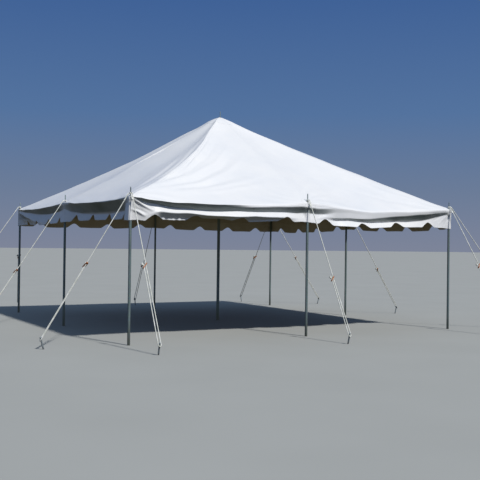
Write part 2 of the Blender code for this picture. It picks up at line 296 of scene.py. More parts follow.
def fold(x, y, points, size, width, lean=0.0):
    """A long soft fold along a line of plan points, fading at both ends; lean makes one flank the steeper."""
    points = np.array(points)
    best = np.full(x.shape, 9.0)
    along = np.zeros(x.shape)
    lengths = np.hypot(*np.diff(points, axis=0).T)
    gone = 0.0
    for start, end, length in zip(points[:-1], points[1:], lengths):
        way = (end - start) / length
        run = np.clip((x - start[0]) * way[0] + (y - start[1]) * way[1], 0, length)
        off = np.hypot(x - start[0] - run * way[0], y - start[1] - run * way[1])
        side = np.sign((x - start[0]) * way[1] - (y - start[1]) * way[0])
        nearer = off < abs(best)
        best = np.where(nearer, off * side, best)
        along = np.where(nearer, gone + run, along)
        gone += length
    place = best / width
    ends = np.clip(np.sin(np.pi * np.clip(along / gone, 0, 1)), 0, 1) ** 0.7
    return size * np.exp(-place ** 2) * (1 + lean * place) * ends


def ripple(x, y, seed, wavelength, count=7):
    """Gentle unevenness: waves of about one length in all directions, from a seeded draw."""
    draw = np.random.default_rng(seed)
    total = np.zeros(np.shape(x))
    for angle, phase, stretch in zip(draw.uniform(0, 2 * np.pi, count), draw.uniform(0, 2 * np.pi, count),
                                     draw.uniform(0.7, 1.4, count)):
        wave = 2 * np.pi / (wavelength * stretch)
        total += np.sin(wave * (x * np.cos(angle) + y * np.sin(angle)) + phase)
    return total / math.sqrt(count)


def fan(x, y, pin, count, reach, size, phase):
    """Wrinkles that spread from a pin, widest apart where they fade out."""
    away = np.hypot(x - pin[0], y - pin[1])
    angle = np.arctan2(y - pin[1], x - pin[0]) + 0.16 * away / reach
    swell = away / reach * np.exp(1 - away / reach)
    return size * swell * np.sin(count * angle + phase + 0.8 * np.sin(3 * angle))


def crest_point(share, amount, beside=0.0):
    """Plan point on the hip at the lower left, at its crest or beside it, positive towards the front."""
    across = (np.interp(share, *crest_pull) * amount + beside) / math.sqrt(2)
    return -half_roof * (1 - share) + across, -half_roof * (1 - share) - across


def rolled_min(a, b, width):
    """The lower of two heights, rounded where they cross."""
    blend = np.clip(0.5 + 0.5 * (b - a) / width, 0, 1)
    return b + (a - b) * blend - width * blend * (1 - blend)


def quarter(x, y, turn):
    """Plan coordinates with corner number turn brought to the lower left."""
    for _ in range(turn):
        x, y = y, -x
    return x, y


# Folds of the near hip, drawn from the crest: the shares of the way up at which each starts and ends, and in
# metres how far beside the crest it lies at either end, its height and its width
hip_folds = [
    (0.04, 0.66, -0.02, -0.045, 0.00625, 0.02), (0.05, 0.62, -0.075, -0.1, -0.0075, 0.03),
    (0.07, 0.66, -0.15, -0.17, 0.006, 0.036), (0.05, 0.62, -0.23, -0.27, -0.00525, 0.04),
    (0.1, 0.66, -0.33, -0.36, 0.005, 0.042), (0.06, 0.5, -0.43, -0.5, -0.00425, 0.045),
    (0.12, 0.48, -0.56, -0.62, 0.00425, 0.05), (0.3, 0.7, 0.05, 0.03, -0.00375, 0.026),
    (0.26, 0.7, 0.1, 0.07, 0.0045, 0.024), (0.1, 0.42, 0.12, 0.16, 0.003, 0.04),
]
other_hip_folds = {1: 0.24, 2: 0.4, 3: 0.4}  # share of their height that the folds have at the other corners
# Folds of the front that fan out of the near corner and bend up towards the peak, as plan points
front_folds = [
    ([(-2.72, -2.68), (-1.98, -2.11), (-1.2, -1.36), (-0.61, -0.71)], 0.0168, 0.034),
    ([(-2.7, -2.73), (-1.85, -2.2), (-1.05, -1.5), (-0.46, -0.8)], -0.01288, 0.04),
    ([(-2.65, -2.74), (-1.75, -2.25), (-0.97, -1.66), (-0.36, -1.01)], 0.014, 0.04),
    ([(-2.6, -2.77), (-1.66, -2.34), (-0.9, -1.8), (-0.3, -1.2)], -0.01176, 0.044),
    ([(-2.5, -2.77), (-1.59, -2.4), (-0.86, -1.93), (-0.2, -1.34)], 0.01288, 0.044),
    ([(-2.45, -2.8), (-1.5, -2.46), (-0.6, -2.03)], -0.01008, 0.048),
    ([(-2.41, -2.81), (-1.41, -2.52), (-0.3, -2.1)], 0.01176, 0.048),
    ([(-2.24, -2.82), (-1.35, -2.62), (-0.31, -2.33)], 0.00952, 0.05),
    ([(-1.9, -2.32), (-1.4, -1.7), (-0.94, -1.09)], 0.01456, 0.028),
    ([(-1.56, -1.84), (-1.15, -1.37), (-0.74, -0.9)], -0.01344, 0.026),
    ([(-1.2, -1.5), (-0.85, -1.1), (-0.5, -0.66)], 0.0112, 0.026),
    ([(2.8, -2.95), (2.1, -2.5), (1.5, -1.85)], 0.00728, 0.05),
    ([(2.75, -3.0), (1.9, -2.75), (1.2, -2.3)], -0.00728, 0.06),
]
# The cloth stands up a little round the crown's stiff patch, least to the right and front
crown_rise = 0.018
crown_ring, crown_ring_width = 0.2, 0.15
low_way, low_cut = (0.871, -0.491), 0.8
# Fine wrinkles that spread from each pin, and gentle unevenness as (height, seed, wavelength)
pin_fans = {"reach": 0.34, "size": 0.0034}
pin_fan_count = 17
unevenness = ((0.0024, 3, 0.9), (0.0009, 4, 0.34))
hip_rounding = 0.17  # difference in height at which a hip's rounding ends, as a share of its crest's pull
peak_rounding = 0.18  # what is added to it on the near hip, towards the peak


def roof_underside(x, y):
    """Height of the roof's underside over plan points."""
    x, y = np.asarray(x, float), np.asarray(y, float)
    z = np.zeros(x.shape)
    for corner in range(4):
        a, b = quarter(x, y, corner)  # side number corner is in front, the one before it on the left
        here = (a <= 1e-9) & (b <= 1e-9)
        a, b = a[here], b[here]
        front = side_height(corner, -1, a * half_roof / np.minimum(b, -1e-6), b + half_roof)
        left = side_height((corner - 1) % 4, 1, -b * half_roof / np.minimum(a, -1e-6), a + half_roof)
        share = 1 + (a + b) / (2 * half_roof)
        aside = (a - b) / math.sqrt(2)
        amount = crest_amount[corner]
        pull = np.interp(share, *crest_pull) * amount
        crest_a, crest_b = crest_point(share, amount)
        crest = side_height(corner, -1, crest_a * half_roof / np.minimum(crest_b, -1e-6), crest_b + half_roof)
        strip = crest - crest_fall * (pull - aside)
        rounding = hip_rounding * np.maximum(pull, 0.003)
        if corner == 0:  # towards the peak the near hip turns over softly
            near_peak = np.clip((share - 0.45) / 0.35, 0, 1) * np.clip((1 - share) / 0.2, 0, 1)
            rounding += peak_rounding * near_peak
        behind = rolled_min(left, strip, rounding)
        part = np.where(aside >= pull, front, behind)
        pins = ((-half_side, -half_side), (0, -half_side), (-half_side, 0))
        for number, pin in enumerate(pins):
            part += fan(a, b, pin, pin_fan_count + number, phase=corner + 2 * number, **pin_fans)
        z[here] = part
    for height, seed, wavelength in unevenness:
        z += height * ripple(x, y, seed, wavelength)
    away = np.hypot(x, y)
    lowness = (low_way[0] * x + low_way[1] * y) / (away + 0.02)
    z += crown_rise * (1 - low_cut * lowness) * np.exp(-((away - crown_ring) / crown_ring_width) ** 2)
    for first, last, beside_first, beside_last, size, width in hip_folds:
        shares = np.linspace(first, last, 9)
        beside = np.linspace(beside_first, beside_last, 9)
        z += fold(x, y, np.transpose(crest_point(shares, 1, beside)), size, width)
        for corner, less in other_hip_folds.items():
            points = np.transpose(crest_point(shares[1:-1], crest_amount[corner], beside[1:-1]))
            z += fold(*quarter(x, y, corner), points, size * less, width * 1.2)
    for points, size, width in front_folds:
        z += fold(x, y, points, size, width)
    return z


# The eave and what hangs from it. Five stretches follow each other down the cloth: lip, band, strip, tuck and
# tab. At places along a side these rows give the slant of each from plumb in degrees, positive inwards as it
# goes down, and between two slants the length of cloth at which one goes over into the next.
valance_drop = 0.335
fold_lengths = (0.04, 0.02, 0.017, 0.017)  # cloth that each change of slant takes up
tab_waver = 0.0075  # how far the rolled tabs' fold wanders up and down the cloth
pole_room = 0.0115  # from the canopy's edge in to where the cloth would touch a pole
plumb = (0, 0.03, 0, 0.1, 0, 0.2, 0, 0.3, 0)
hugging = (3, 0.04, 4, 0.1, -2, 0.16, -5, 0.3, -5)
slack = (6, 0.04, 10, 0.12, -5, 0.2, -8, 0.3, -8)
tucked = (14, 0.02, 24, 0.14, -18, 0.22, -22, 0.3, -20)
profiles = {
    "front": {
        -3.083: (0, 0.02, 6, 0.06, 8, 0.2, 8, 0.3, 8),
        -3.0: (14, 0.01, 24, 0.03, 10, 0.2, 10, 0.3, 8),
        -2.91: (32, 0.01, 38, 0.06, 7, 0.2, 9, 0.28, 9),
        -2.74: (38, 0.02, 41, 0.073, -6, 0.24, 2, 0.29, 8),
        -2.66: (39, 0.02, 42, 0.08, -20, 0.21, 14, 0.3, 8),
        -2.58: (39, 0.02, 43, 0.09, -32, 0.2, 42, 0.312, 6),
        -2.29: (39, 0.02, 43, 0.117, -40, 0.206, 42, 0.314, -8),
        -2.11: (39, 0.02, 43, 0.123, -40, 0.199, 44, 0.31, 0),
        -2.0: (39, 0.02, 43, 0.126, -40, 0.206, 54, 0.31, 30),
        -1.86: (39, 0.02, 43, 0.129, -40, 0.218, 70, 0.27, 70),
        -1.52: (39, 0.02, 43, 0.129, -40, 0.225, 74, 0.27, 74),
        -1.26: (20, 0.03, 43, 0.11, -40, 0.226, 58, 0.3, 40),
        -1.0: (-14, 0.034, 42, 0.122, -40, 0.208, 52, 0.312, 10),
        -0.72: (-26, 0.042, 42, 0.145, -40, 0.247, 54, 0.312, 10),
        -0.45: (-28, 0.048, 42, 0.158, -38, 0.262, 50, 0.315, 30),
        -0.16: (-20, 0.06, 39, 0.195, -18, 0.28, -14, 0.31, -12),
        0.0: (-14, 0.075, 37, 0.185, -14, 0.28, -14, 0.31, -12),
        0.13: (-14, 0.075, 36, 0.18, -18, 0.27, -14, 0.3, -12),
        0.32: (-16, 0.07, 28, 0.17, -20, 0.22, 0, 0.25, -16),
        0.52: (-22, 0.03, 8, 0.1, 2, 0.195, 46, 0.241, -26),
        0.83: (-40, 0.03, 4, 0.08, 0, 0.173, 46, 0.219, -32),
        1.08: (-45, 0.03, 2, 0.08, 0, 0.156, 45, 0.222, -36),
        1.35: (-48, 0.03, 2, 0.07, 2, 0.133, 43, 0.225, -38),
        1.68: (-48, 0.03, 2, 0.06, 4, 0.115, 42, 0.23, -38),
        1.94: (-44, 0.03, 4, 0.05, 6, 0.103, 42, 0.227, -36),
        2.23: (-34, 0.03, 6, 0.05, 6, 0.082, 41, 0.226, -26),
        2.46: (-24, 0.03, 8, 0.04, 8, 0.079, 40, 0.216, -16),
        2.69: (-14, 0.02, 10, 0.04, 10, 0.064, 40, 0.168, -8),
        2.91: (-6, 0.02, 10, 0.03, 12, 0.055, 38, 0.116, -2),
        3.02: (-2, 0.02, 4, 0.03, 8, 0.045, 26, 0.08, 0),
        3.083: plumb,
    },
    "right": {-3.083: plumb, -2.7: slack, -1.6: tucked, -0.4: slack, 0: hugging, 0.5: slack, 1.5: tucked,
              2.6: slack, 3.083: plumb},
    "back": {-3.083: plumb, -2.7: slack, -1.4: tucked, -0.6: slack, 0: hugging, 0.4: slack, 1.7: tucked,
             2.8: slack, 3.083: plumb},
    "left": {
        -3.083: (2, 0.03, 4, 0.05, -4, 0.1, 4, 0.3, -4),
        -2.98: (16, 0.01, 28, 0.03, -5, 0.06, 24, 0.29, 12),
        -2.6: (26, 0.01, 36, 0.06, -8, 0.15, 34, 0.28, 20),
        -2.2: (28, 0.01, 36, 0.09, -8, 0.22, 32, 0.3, 20),
        -1.8: (28, 0.01, 37, 0.12, -8, 0.28, 14, 0.31, 4),
        -1.1: (28, 0.01, 37, 0.15, -8, 0.3, -7, 0.32, -7),
        -0.35: (24, 0.01, 32, 0.13, -7, 0.29, -7, 0.32, -7),
        0: (4, 0.04, 14, 0.1, -5, 0.25, -6, 0.3, -6),
        0.35: (24, 0.01, 38, 0.2, -7, 0.28, -7, 0.3, -7),
        1.1: (30, 0.01, 42, 0.235, -8, 0.29, -8, 0.3, -7),
        1.9: (30, 0.01, 42, 0.24, -8, 0.29, -8, 0.3, -7),
        2.6: (28, 0.01, 40, 0.21, -7, 0.28, -7, 0.3, -7),
        2.92: (12, 0.02, 18, 0.08, -6, 0.2, -6, 0.3, -6),
        3.083: (-2, 0.03, -2, 0.1, -2, 0.2, -2, 0.3, -2),
    },
}


def soft_profile(side):
    """A side's profiles, eased along it: (places, the values of each column there)."""
    stations = sorted(profiles[side])
    columns = np.array([profiles[side][s] for s in stations], float).T
    eased_columns = [eased(list(zip(stations, column)), 0.028, -half_roof, half_roof) for column in columns]
    return eased_columns[0][0], [column for places, column in eased_columns]


side_profiles = [soft_profile(side) for side in side_names]
corner_round = 0.018


def eave_ring(straight, arc, crowding=0.0):
    """Stations round the canopy's edge, as arrays: side number, u along it, plan point and outward normal.

    A crowding above 0 draws them towards the corners."""
    sides, us, points, normals = [], [], [], []
    reach = half_roof - corner_round
    even = np.linspace(-1, 1, straight + 1)
    places = reach * ((1 - crowding) * even + crowding * np.sin(np.pi / 2 * even))
    for number in range(4):
        turn = np.array(quarter_turns[number].to_2x2())
        local = [(u, (u, -half_roof), (0, -1)) for u in places]
        for step in range(1, arc + 1):
            angle = math.pi / 2 * step / (arc + 1)
            way = (math.sin(angle), -math.cos(angle))
            local.append((half_roof, (reach + corner_round * way[0], -reach + corner_round * way[1]), way))
        for u, point, way in local:
            sides.append(number)
            us.append(u)
            points.append(turn @ np.array(point))
            normals.append(turn @ np.array(way))
    return np.array(sides), np.array(us), np.array(points), np.array(normals)


def hang(sides, us, lengths):
    """How far in and down the cloth lies at lengths down it, and its slant: a row of each per station."""
    fine = np.linspace(0, valance_drop, 168)
    step = fine[1] - fine[0]
    inward, down, tilt = (np.zeros(lengths.shape) for _ in range(3))
    for number in range(4):
        here = np.nonzero(sides == number)[0]
        places, columns = side_profiles[number]
        values = [np.interp(us[here], places, column)[:, None] for column in columns]
        slant = values[0] + 0 * fine
        if number == 0:  # the rolled tabs of the front's left part waver
            waver = tab_waver * np.clip(-1.2 - us[here], 0, 0.2) / 0.2
            values[7] += (waver * (np.sin(43 * us[here]) + np.sin(71 * us[here] + 1)))[:, None]
        for k, fold_length in zip((1, 3, 5, 7), fold_lengths):
            over = np.clip((fine - values[k]) / fold_length + 0.5, 0, 1)
            slant = slant + (values[k + 1] - values[k - 1]) * over * over * (3 - 2 * over)
        slant = np.radians(slant)
        goes_in = np.cumsum(np.sin(slant), axis=1) * step
        goes_down = np.cumsum(np.cos(slant), axis=1) * step
        for row, index in enumerate(here):
            inward[index] = np.interp(lengths[index], fine, goes_in[row])
            down[index] = np.interp(lengths[index], fine, goes_down[row])
            tilt[index] = np.interp(lengths[index], fine, slant[row])
    # It drapes over the poles rather than through them, and slants off to both sides of each
    for pole_u in (-half_side, 0, half_side):
        room = pole_room + 1.3 * np.maximum(abs(us - pole_u) - pole_radius, 0)
        inward = np.minimum(inward, room[:, None])
    return inward, down, tilt


def grid_faces(rows, count, rows_meet=False, ends_meet=False):
    """Four-sided faces between rows of points; the last row may meet the first, and each row's two ends."""
    faces = []
    for row in range(rows if rows_meet else rows - 1):
        first, second = row * count, (row + 1) % rows * count
        for i in range(count if ends_meet else count - 1):
            j = (i + 1) % count
            faces.append((first + i, first + j, second + j, second + i))
    return faces


def cloth_mesh(name, vertices, faces):
    """A smooth mesh object from points and faces."""
    mesh = bpy.data.meshes.new(name)
    mesh.from_pydata([tuple(vertex) for vertex in vertices], [], faces)
    mesh.update()
    mesh.polygons.foreach_set("use_smooth", [True] * len(mesh.polygons))
    made = bpy.data.objects.new(name, mesh)
    bpy.context.scene.collection.objects.link(made)
    return made


def apply_modifier(piece, kind, **settings):
    """Adds a modifier with its settings and applies it."""
    select_only(piece)
    modifier = piece.modifiers.new(kind.lower(), kind)
    for name, value in settings.items():
        setattr(modifier, name, value)
    bpy.ops.object.modifier_apply(modifier=modifier.name)


roof_sides, roof_us, roof_edge, roof_normals = eave_ring(204, 3)
ring_count = len(roof_us)
# Rows of the edge that is turned down and sewn over the valance, by length of cloth
turn_down = np.array((0.005, 0.012, 0.022, 0.034))
sewn_below = 0.002  # what is sewn along the edge starts this far below it
down_in, down_fall, down_tilt = hang(roof_sides, roof_us, np.tile(turn_down, (ring_count, 1)))
edge_z = roof_underside(*(roof_edge.T))
roof_points, rings = [], []


def add_ring(points):
    """Adds a row of points to the roof, and keeps their numbers."""
    rings.append(list(range(len(roof_points), len(roof_points) + len(points))))
    roof_points.extend(map(tuple, points))


for row in reversed(range(len(turn_down))):
    plan = roof_edge - roof_normals * down_in[:, row, None]
    add_ring(np.column_stack((plan, edge_z - sewn_below - down_fall[:, row])))
row_count = 60  # rows from the eave to the crown, closest together at the eave
first_pitch = 0.45  # of the rows, as a share of an even one
thinning = ((0.86, 4), (0.62, 2), (0, 1))  # from each share of the way up, rows have one in so many points
edge_rounding = 0.0012  # the outermost row lies this much lower
crown_share = 1 - crown_half / half_roof
for row in range(row_count + 1):
    place = row / row_count
    share = crown_share * place * (first_pitch + (1 - first_pitch) * place)
    step = next(keep for above, keep in thinning if share >= above)
    plan = roof_edge[::step] * (1 - share)
    x, y = plan.T.copy()
    # The points on each hip go over to its pulled crest, and take those beside them along
    for corner in range(4):
        a, b = quarter(x, y, corner)
        here = (a <= 0) & (b <= 0)
        along = 1 + (a + b) / (2 * half_roof)
        aside = (a - b) / math.sqrt(2)
        pull = np.interp(along, *crest_pull) * crest_amount[corner]
        pull *= np.exp(-(aside / (0.6 * (1 - along) + 0.02)) ** 2) / math.sqrt(2)
        a, b = a + pull, b - pull
        back_x, back_y = quarter(a, b, (4 - corner) % 4)
        x, y = np.where(here, back_x, x), np.where(here, back_y, y)
    z = roof_underside(x, y)
    if row == 0:
        z -= edge_rounding
    add_ring(np.column_stack((x, y, z)))
roof_faces = []
for lower, upper in zip(rings[:-1], rings[1:]):
    count = len(lower)
    if len(upper) == count:
        for i in range(count):
            j = (i + 1) % count
            roof_faces.append((lower[i], lower[j], upper[j], upper[i]))
    else:
        for i in range(0, count, 2):
            near, far = upper[i // 2], upper[(i // 2 + 1) % len(upper)]
            a0, a1, a2 = lower[i], lower[i + 1], lower[(i + 2) % count]
            roof_faces += [(a0, a1, near), (a1, far, near), (a1, a2, far)]
roof = cloth_mesh("canopy_roof", roof_points, roof_faces)
full_tuck = math.radians(42)  # the slant at which the cloth counts as tucked in altogether


def mark_tuck_shade(piece, tilts):
    """Keeps how far each point of the cloth is tucked in, from 0 to 1, for the shade painted into the tuck.
    """
    tuck_shade_layer = piece.data.attributes.new("tucked_in", "FLOAT", "POINT")
    tuck_shade_layer.data.foreach_set("value", np.clip(tilts / full_tuck, 0, 1).astype(float))


# The turned-down edge gets painted shade where it tucks in; the roof above it gets none
edge_tilts = np.concatenate([down_tilt[:, row] for row in reversed(range(len(turn_down)))])
mark_tuck_shade(roof, np.concatenate((edge_tilts, np.zeros(len(roof_points) - len(edge_tilts)))))

# White vinyl-coated polyester, satin from its calendered coat: the scrim shows as a faint square weave (drawn
# 12 mm apart, the real one is 1 mm), dirt leaves pale grey specks, shade is painted in grey-green where the
# cloth is tucked in, and handling leaves soft creases.
vinyl, tree, shader = new_material("vinyl coated polyester", Roughness=0.34, Specular_IOR_Level=0.5)
place = add_node(tree, "TexCoord")
cloudy = add_node(tree, "TexNoise", {"Scale": 1.3, "Detail": 5, "Roughness": 0.6},
                  {"Vector": (place, "Object")})
white = add_node(tree, "ValToRGB", {"stops": [(0.3, linear("#EDEFF2")), (0.7, linear("#F6F6F6"))]},
                 {0: cloudy})
specks = add_node(tree, "TexNoise", {"Scale": 38, "Detail": 6, "Roughness": 0.7},
                  {"Vector": (place, "Object")})
soiled = add_node(tree, "MapRange", {"From Min": 0.58, "From Max": 0.75, "To Max": 0.22}, {"Value": specks})
coat = add_node(tree, "Mix", {"data_type": "RGBA", 7: linear("#C9C8BE")}, {0: soiled, 6: white})
# Painted shade: the coat is mixed towards grey-green where the cloth is tucked in, in cloudy patches
tuck = add_node(tree, "Attribute", {"attribute_name": "tucked_in"})
patchy = add_node(tree, "MapRange", {"From Min": 0.3, "From Max": 0.6, "To Min": 0.75, "To Max": 1.0},
                  {"Value": cloudy})
tuck_shade_amount = add_node(tree, "Math", {"operation": "MULTIPLY"}, {0: (tuck, "Fac"), 1: patchy})
painted_tuck_shade = add_node(tree, "Mix", {"data_type": "RGBA", 7: linear("#7D8986")}, {0: tuck_shade_amount, 6: (coat, 2)})
warp = add_node(tree, "TexWave", {"Scale": 26, "bands_direction": "X"}, {"Vector": (place, "Object")})
weft = add_node(tree, "TexWave", {"Scale": 26, "bands_direction": "Y"}, {"Vector": (place, "Object")})
weave = add_node(tree, "Math", {"operation": "ADD"}, {0: (warp, "Fac"), 1: (weft, "Fac")})
threads = add_node(tree, "Bump", {"Strength": 0.05, "Distance": 0.001}, {"Height": weave})
creases = add_node(tree, "TexNoise", {"Scale": 9, "Detail": 3, "Distortion": 1.2},
                   {"Vector": (place, "Object")})
crumple = add_node(tree, "Bump", {"Strength": 0.12, "Distance": 0.012},
                   {"Height": creases, "Normal": threads})
link_all(tree, shader, {"Base Color": (painted_tuck_shade, 2), "Normal": crumple})

# The back of the same cloth: its warm drab tone, darker than the coat, is painted shade that stands in for
# the dim light under the tent, mottled at random
lining, tree, shader = new_material("cloth back with painted shade", Roughness=0.8, Specular_IOR_Level=0.2)
place = add_node(tree, "TexCoord")
back_mottle = add_node(tree, "TexNoise", {"Scale": 3, "Detail": 5}, {"Vector": (place, "Object")})
drab = add_node(tree, "ValToRGB", {"stops": [(0.3, linear("#CBC2B4")), (0.7, linear("#DAD2C6"))]}, {0: back_mottle})
warp = add_node(tree, "TexWave", {"Scale": 26, "bands_direction": "X"}, {"Vector": (place, "Object")})
threads = add_node(tree, "Bump", {"Strength": 0.1, "Distance": 0.001}, {"Height": (warp, "Fac")})
link_all(tree, shader, {"Base Color": drab, "Normal": threads})


def finish_cloth(piece, thickness, offset, even):
    """Gives a cloth its thickness, with the coat on one face and the back in painted shade on the other."""
    piece.data.materials.append(vinyl)
    piece.data.materials.append(lining)
    apply_modifier(piece, "SOLIDIFY", thickness=thickness, offset=offset, use_even_offset=even,
                   material_offset=1, material_offset_rim=0)
    bpy.ops.object.shade_smooth_by_angle(angle=math.radians(75))


finish_cloth(roof, cloth_thickness, 1, True)
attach(roof, "root")
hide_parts(*[side + "_roof_panel" for side in side_names])

# Valance
# One band of the same cloth sewn under the eave all the way round, with a scalloped hem. Wind and damp have
# curled it: it tucks in under the edge, kicks out again, and its tabs flare or roll up.
scallop_width = 0.28
scallop_depth = 0.092
scallop_top = 0.045  # radius that rounds the top of a notch
band_thickness = 0.0012
notches = {
    "front": (-2.674, -1.98, -1.207, -0.407, 0.339, 1.091, 1.84, 2.579),
    "right": (-2.62, -1.88, -1.12, -0.37, 0.38, 1.13, 1.87, 2.63),
    "back": (-2.63, -1.87, -1.13, -0.38, 0.37, 1.12, 1.88, 2.62),
    "left": (-2.62, -1.87, -1.13, -0.37, 0.38, 1.12, 1.88, 2.62),
}


def hem_length(side, u):
    """Length of the valance's cloth down to its hem."""
    reach = math.hypot(scallop_width / 2, scallop_top) - scallop_top
    lift = 0.0
    for middle in notches[side]:
        off = math.hypot(u - middle, scallop_top) - scallop_top
        lift = max(lift, 1 - off / reach)
    return valance_drop - scallop_depth * max(lift, 0)


band_sides, band_us, band_edge, band_normals = eave_ring(380, 5, 0.6)
band_count = len(band_us)
band_rows = 32
hem = np.array([hem_length(side_names[number], u) for number, u in zip(band_sides, band_us)])
hem = (hem + np.roll(hem, 1) + np.roll(hem, -1)) / 3
first_row = 0.004  # cloth above the first row of points
lengths = first_row + (hem[:, None] - first_row) * np.linspace(0, 1, band_rows)[None, :]
around = np.arange(band_count) / band_count * 8 * half_roof
ripple_height = 0.007  # of the hem's own ripples: two waves, 0.57 and 0.31 m long on average
calm_reach, full_reach = 0.05, 0.25  # from a pole, where the ripples begin and where they are in full
wander = (0.5 * np.sin(2 * np.pi * around / 0.57 + 1.1 * np.sin(around * 0.9))
          + 0.5 * np.sin(2 * np.pi * around / 0.31 + 1.7 * np.sin(around * 1.7 + 1)))
near_pole = np.min([abs(band_us - u) for u in (-half_side, 0, half_side)], axis=0)
free = np.clip((near_pole - calm_reach) / (full_reach - calm_reach), 0, 1)
edge_base = roof_underside(*band_edge.T)
sewn_in = 0.0007  # the band lies this far inside the turned-down edge
# Creases that run out of the corners: points along the side and down the cloth, height and width
near_creases = [
    ([(-3.05, 0.02), (-2.9, 0.095), (-2.69, 0.19)], 0.02, 0.018),
    ([(-3.06, 0.175), (-2.95, 0.21), (-2.8, 0.275)], 0.018, 0.0175),
    ([(-3.03, 0.03), (-2.95, 0.11), (-2.88, 0.17)], -0.007, 0.015),
    ([(-2.98, 0.03), (-2.8, 0.085), (-2.6, 0.125)], -0.0065, 0.015),
    ([(-3.0, 0.17), (-2.88, 0.19), (-2.76, 0.24)], -0.0065, 0.015),
]
far_creases = [([(3.05, 0.05), (2.93, 0.16), (2.8, 0.28)], 0.0055, 0.015),
               ([(3.06, 0.08), (2.98, 0.2), (2.92, 0.3)], -0.005, 0.014),
               ([(3.04, 0.04), (2.86, 0.13), (2.68, 0.22)], -0.0045, 0.014)]
corner_creases = ((1, near_creases, far_creases), (0.5, near_creases, far_creases[:2]),
                  (0.4, near_creases[:2], far_creases[:2]), (0.6, near_creases[:3], far_creases))


def band_hang(lengths):
    """How far in and down the valance lies at lengths down it, and its slant, with ripples and creases."""
    inward, down, tilt = hang(band_sides, band_us, lengths)
    inward = inward + (ripple_height * wander * free)[:, None] * (lengths / valance_drop) ** 1.5
    places = np.repeat(band_us[:, None], lengths.shape[1], axis=1)
    for number, (share, *ends) in enumerate(corner_creases):
        here = band_sides == number
        for points, size, width in ends[0] + ends[1]:
            inward[here] -= fold(places[here], lengths[here], points, size * share, width, 0.5)
    return inward, down, tilt


band_in, band_fall, band_tilt = band_hang(lengths)
band_points = []
for column in range(band_count):
    for row in range(band_rows):
        point = band_edge[column] - band_normals[column] * (band_in[column, row] + sewn_in)
        band_points.append((*point, edge_base[column] - sewn_below - band_fall[column, row]))
valance = cloth_mesh("canopy_valance", band_points, grid_faces(band_count, band_rows, rows_meet=True))
# Shade is painted where the band is tucked in; the tabs below it take only a tenth of that painted shade
shade_fade_from, shade_fade_over, tab_shade_share = 0.19, 0.04, 0.1
band_shade_share = np.clip(1 - (lengths - shade_fade_from) / shade_fade_over, tab_shade_share, 1)
mark_tuck_shade(valance, (band_tilt * band_shade_share).ravel())
finish_cloth(valance, band_thickness, -1, False)
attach(valance, "root")
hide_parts(*[side + "_valance" for side in side_names])


def joined(pieces):
    """Several meshes made one, under the first one's name."""
    select_only(*pieces)
    bpy.ops.object.join()
    return pieces[0]


# A folded tape of the same cloth is sewn over the scalloped hem with one line of stitches
tape_width = 0.014
tape_thickness = 0.0006
tape_fold = 0.0012  # the tape's fold lies this far beyond the hem
# Across the tape, from outside round the hem to inside: its share of the width back from the hem, and how far
# it lies out from the band
tape_rows = ((1, 0.0009), (0.5, 0.0012), (0, 0.0009), (0, -0.0006), (0, -0.0021), (0.5, -0.0024),
             (1, -0.0021))
tape_lengths = hem[:, None] - tape_width * np.array([back for back, out in tape_rows])[None, :]
tape_in, tape_fall, tape_tilt = band_hang(tape_lengths)
tape_points, tape_stitches = [], []
for column in range(band_count):
    normal = Vector((*band_normals[column], 0))
    for row, (back, out) in enumerate(tape_rows):
        slant = tape_tilt[column, row]
        base = Vector((*band_edge[column], edge_base[column] - sewn_below - tape_fall[column, row]))
        base -= normal * (tape_in[column, row] + sewn_in)
        outward = normal * math.cos(slant) - Vector((0, 0, math.sin(slant)))
        onward = -normal * math.sin(slant) - Vector((0, 0, math.cos(slant)))
        tip = tape_fold if row == 3 else 0
        tape_points.append(base + outward * out + onward * tip)
        tape_stitches.append((tape_width * (0.5 - back), around[column], 0))
binding = cloth_mesh("canopy_hem_binding", tape_points,
                     grid_faces(band_count, len(tape_rows), rows_meet=True))


def mark_stitches(piece, places):
    """Keeps how far each point is across from the line of stitches, and how far along it, in metres."""
    marks = piece.data.attributes.new("stitch_place", "FLOAT_VECTOR", "POINT")
    marks.data.foreach_set("vector", np.array(places, float).ravel())


# The same cloth where it is sewn: grey polyester thread in stitches of 5 mm, pulled down a little into the
# coat
sewn_vinyl = vinyl.copy()
sewn_vinyl.name = "sewn vinyl coated polyester"
tree = sewn_vinyl.node_tree
shader = tree.nodes["Principled BSDF"]
thread_place = add_node(tree, "Attribute", {"attribute_name": "stitch_place"})
across_along = add_node(tree, "SeparateXYZ", {}, {0: (thread_place, "Vector")})
aside = add_node(tree, "Math", {"operation": "ABSOLUTE"}, {0: across_along})
on_line = add_node(tree, "Math", {"operation": "LESS_THAN", 1: 0.0007}, {0: aside})
stitches = add_node(tree, "Math", {"operation": "MULTIPLY", 1: 200}, {0: (across_along, 1)})
part = add_node(tree, "Math", {"operation": "FRACT"}, {0: stitches})
laid = add_node(tree, "Math", {"operation": "LESS_THAN", 1: 0.72}, {0: part})
thread = add_node(tree, "Math", {"operation": "MULTIPLY"}, {0: on_line, 1: laid})
plain_coat = (shader.inputs["Base Color"].links[0].from_node, 2)
threaded = add_node(tree, "Mix", {"data_type": "RGBA", 7: linear("#C6CAC9")}, {0: thread, 6: plain_coat})
plain_relief = shader.inputs["Normal"].links[0].from_node
raised = add_node(tree, "Bump", {"Strength": 0.6, "Distance": 0.0008},
                  {"Height": thread, "Normal": plain_relief})
link_all(tree, shader, {"Base Color": (threaded, 2), "Normal": raised})


def finish_trim(piece, thickness):
    apply_modifier(piece, "SOLIDIFY", thickness=thickness, offset=-1, use_even_offset=False)
    bpy.ops.object.shade_smooth_by_angle(angle=math.radians(50))
    give_material(piece, sewn_vinyl)
    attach(piece, "root")


